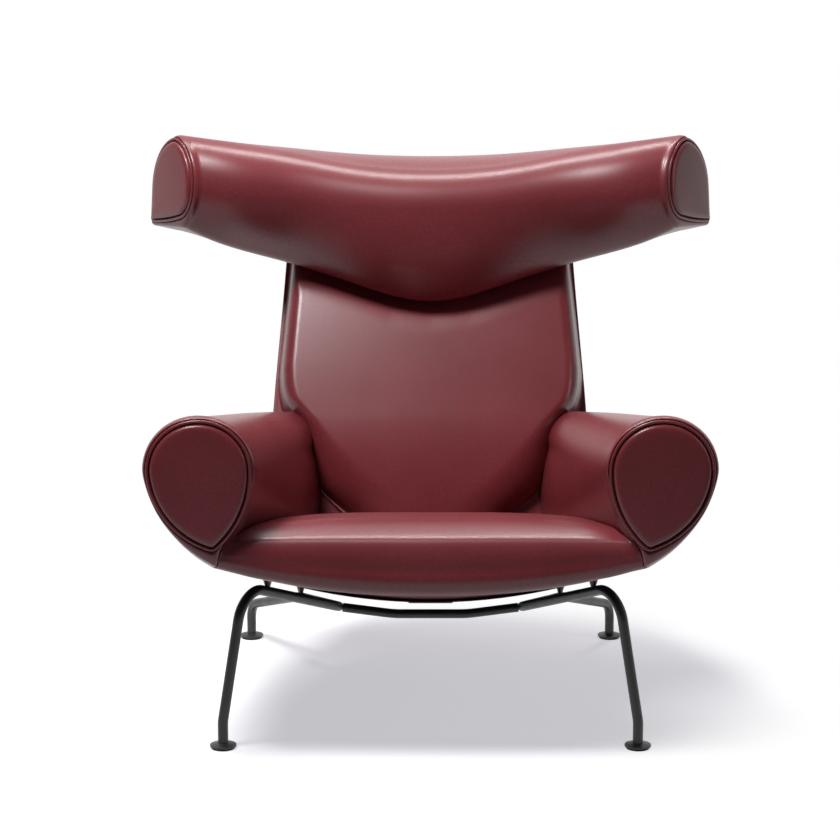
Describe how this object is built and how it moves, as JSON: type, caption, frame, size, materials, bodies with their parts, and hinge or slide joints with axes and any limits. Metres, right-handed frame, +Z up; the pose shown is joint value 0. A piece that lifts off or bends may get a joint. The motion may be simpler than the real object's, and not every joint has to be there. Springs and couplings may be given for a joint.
{
  "type": "horned lounge chair",
  "caption": "Reclined leather lounge chair with a crescent headrest that ends in horns, teardrop bolster arms and a bent steel tube base on round feet",
  "frame": {"origin": "on the floor under the middle of the bounding box", "axes": "+X to the right of a viewer who faces the chair, +Y from the seat's front to the rear, +Z up; the chair is mirrored about the plane X = 0"},
  "size_m": [0.9896, 0.99, 0.9001],
  "materials": {
    "leather": "semi-gloss oxblood leather",
    "base_steel": "satin black lacquer",
    "glide_felt": "pressed felt",
    "inner_steel": "mill finish",
    "dust_cloth": "woven black lining",
    "tab_cloth": "plain woven tape"
  },
  "bodies": {
    "root": {"seat_shell": "leather", "seat_cushion": "leather", "left_arm": "leather", "right_arm": "leather", "left_arm_cap": "leather", "right_arm_cap": "leather", "left_arm_welt": "leather", "right_arm_welt": "leather", "back_shell": "leather", "back_cushion": "leather", "headrest": "leather", "left_horn_cap": "leather", "right_horn_cap": "leather", "left_horn_welt": "leather", "right_horn_welt": "leather", "left_side_tube": "base_steel", "right_side_tube": "base_steel", "cross_tube": "base_steel", "front_left_foot_disc": "base_steel", "front_right_foot_disc": "base_steel", "rear_left_foot_disc": "base_steel", "rear_right_foot_disc": "base_steel", "front_left_boss": "base_steel", "front_right_boss": "base_steel", "rear_left_boss": "base_steel", "rear_right_boss": "base_steel", "front_left_glide_pad": "glide_felt", "front_right_glide_pad": "glide_felt", "rear_left_glide_pad": "glide_felt", "rear_right_glide_pad": "glide_felt", "mounting_screws": "inner_steel", "left_upright": "inner_steel", "right_upright": "inner_steel", "head_tube": "inner_steel", "left_arm_rail": "inner_steel", "right_arm_rail": "inner_steel", "dust_cover": "dust_cloth", "dust_cover_tab": "tab_cloth"}
  },
  "joints": []
}
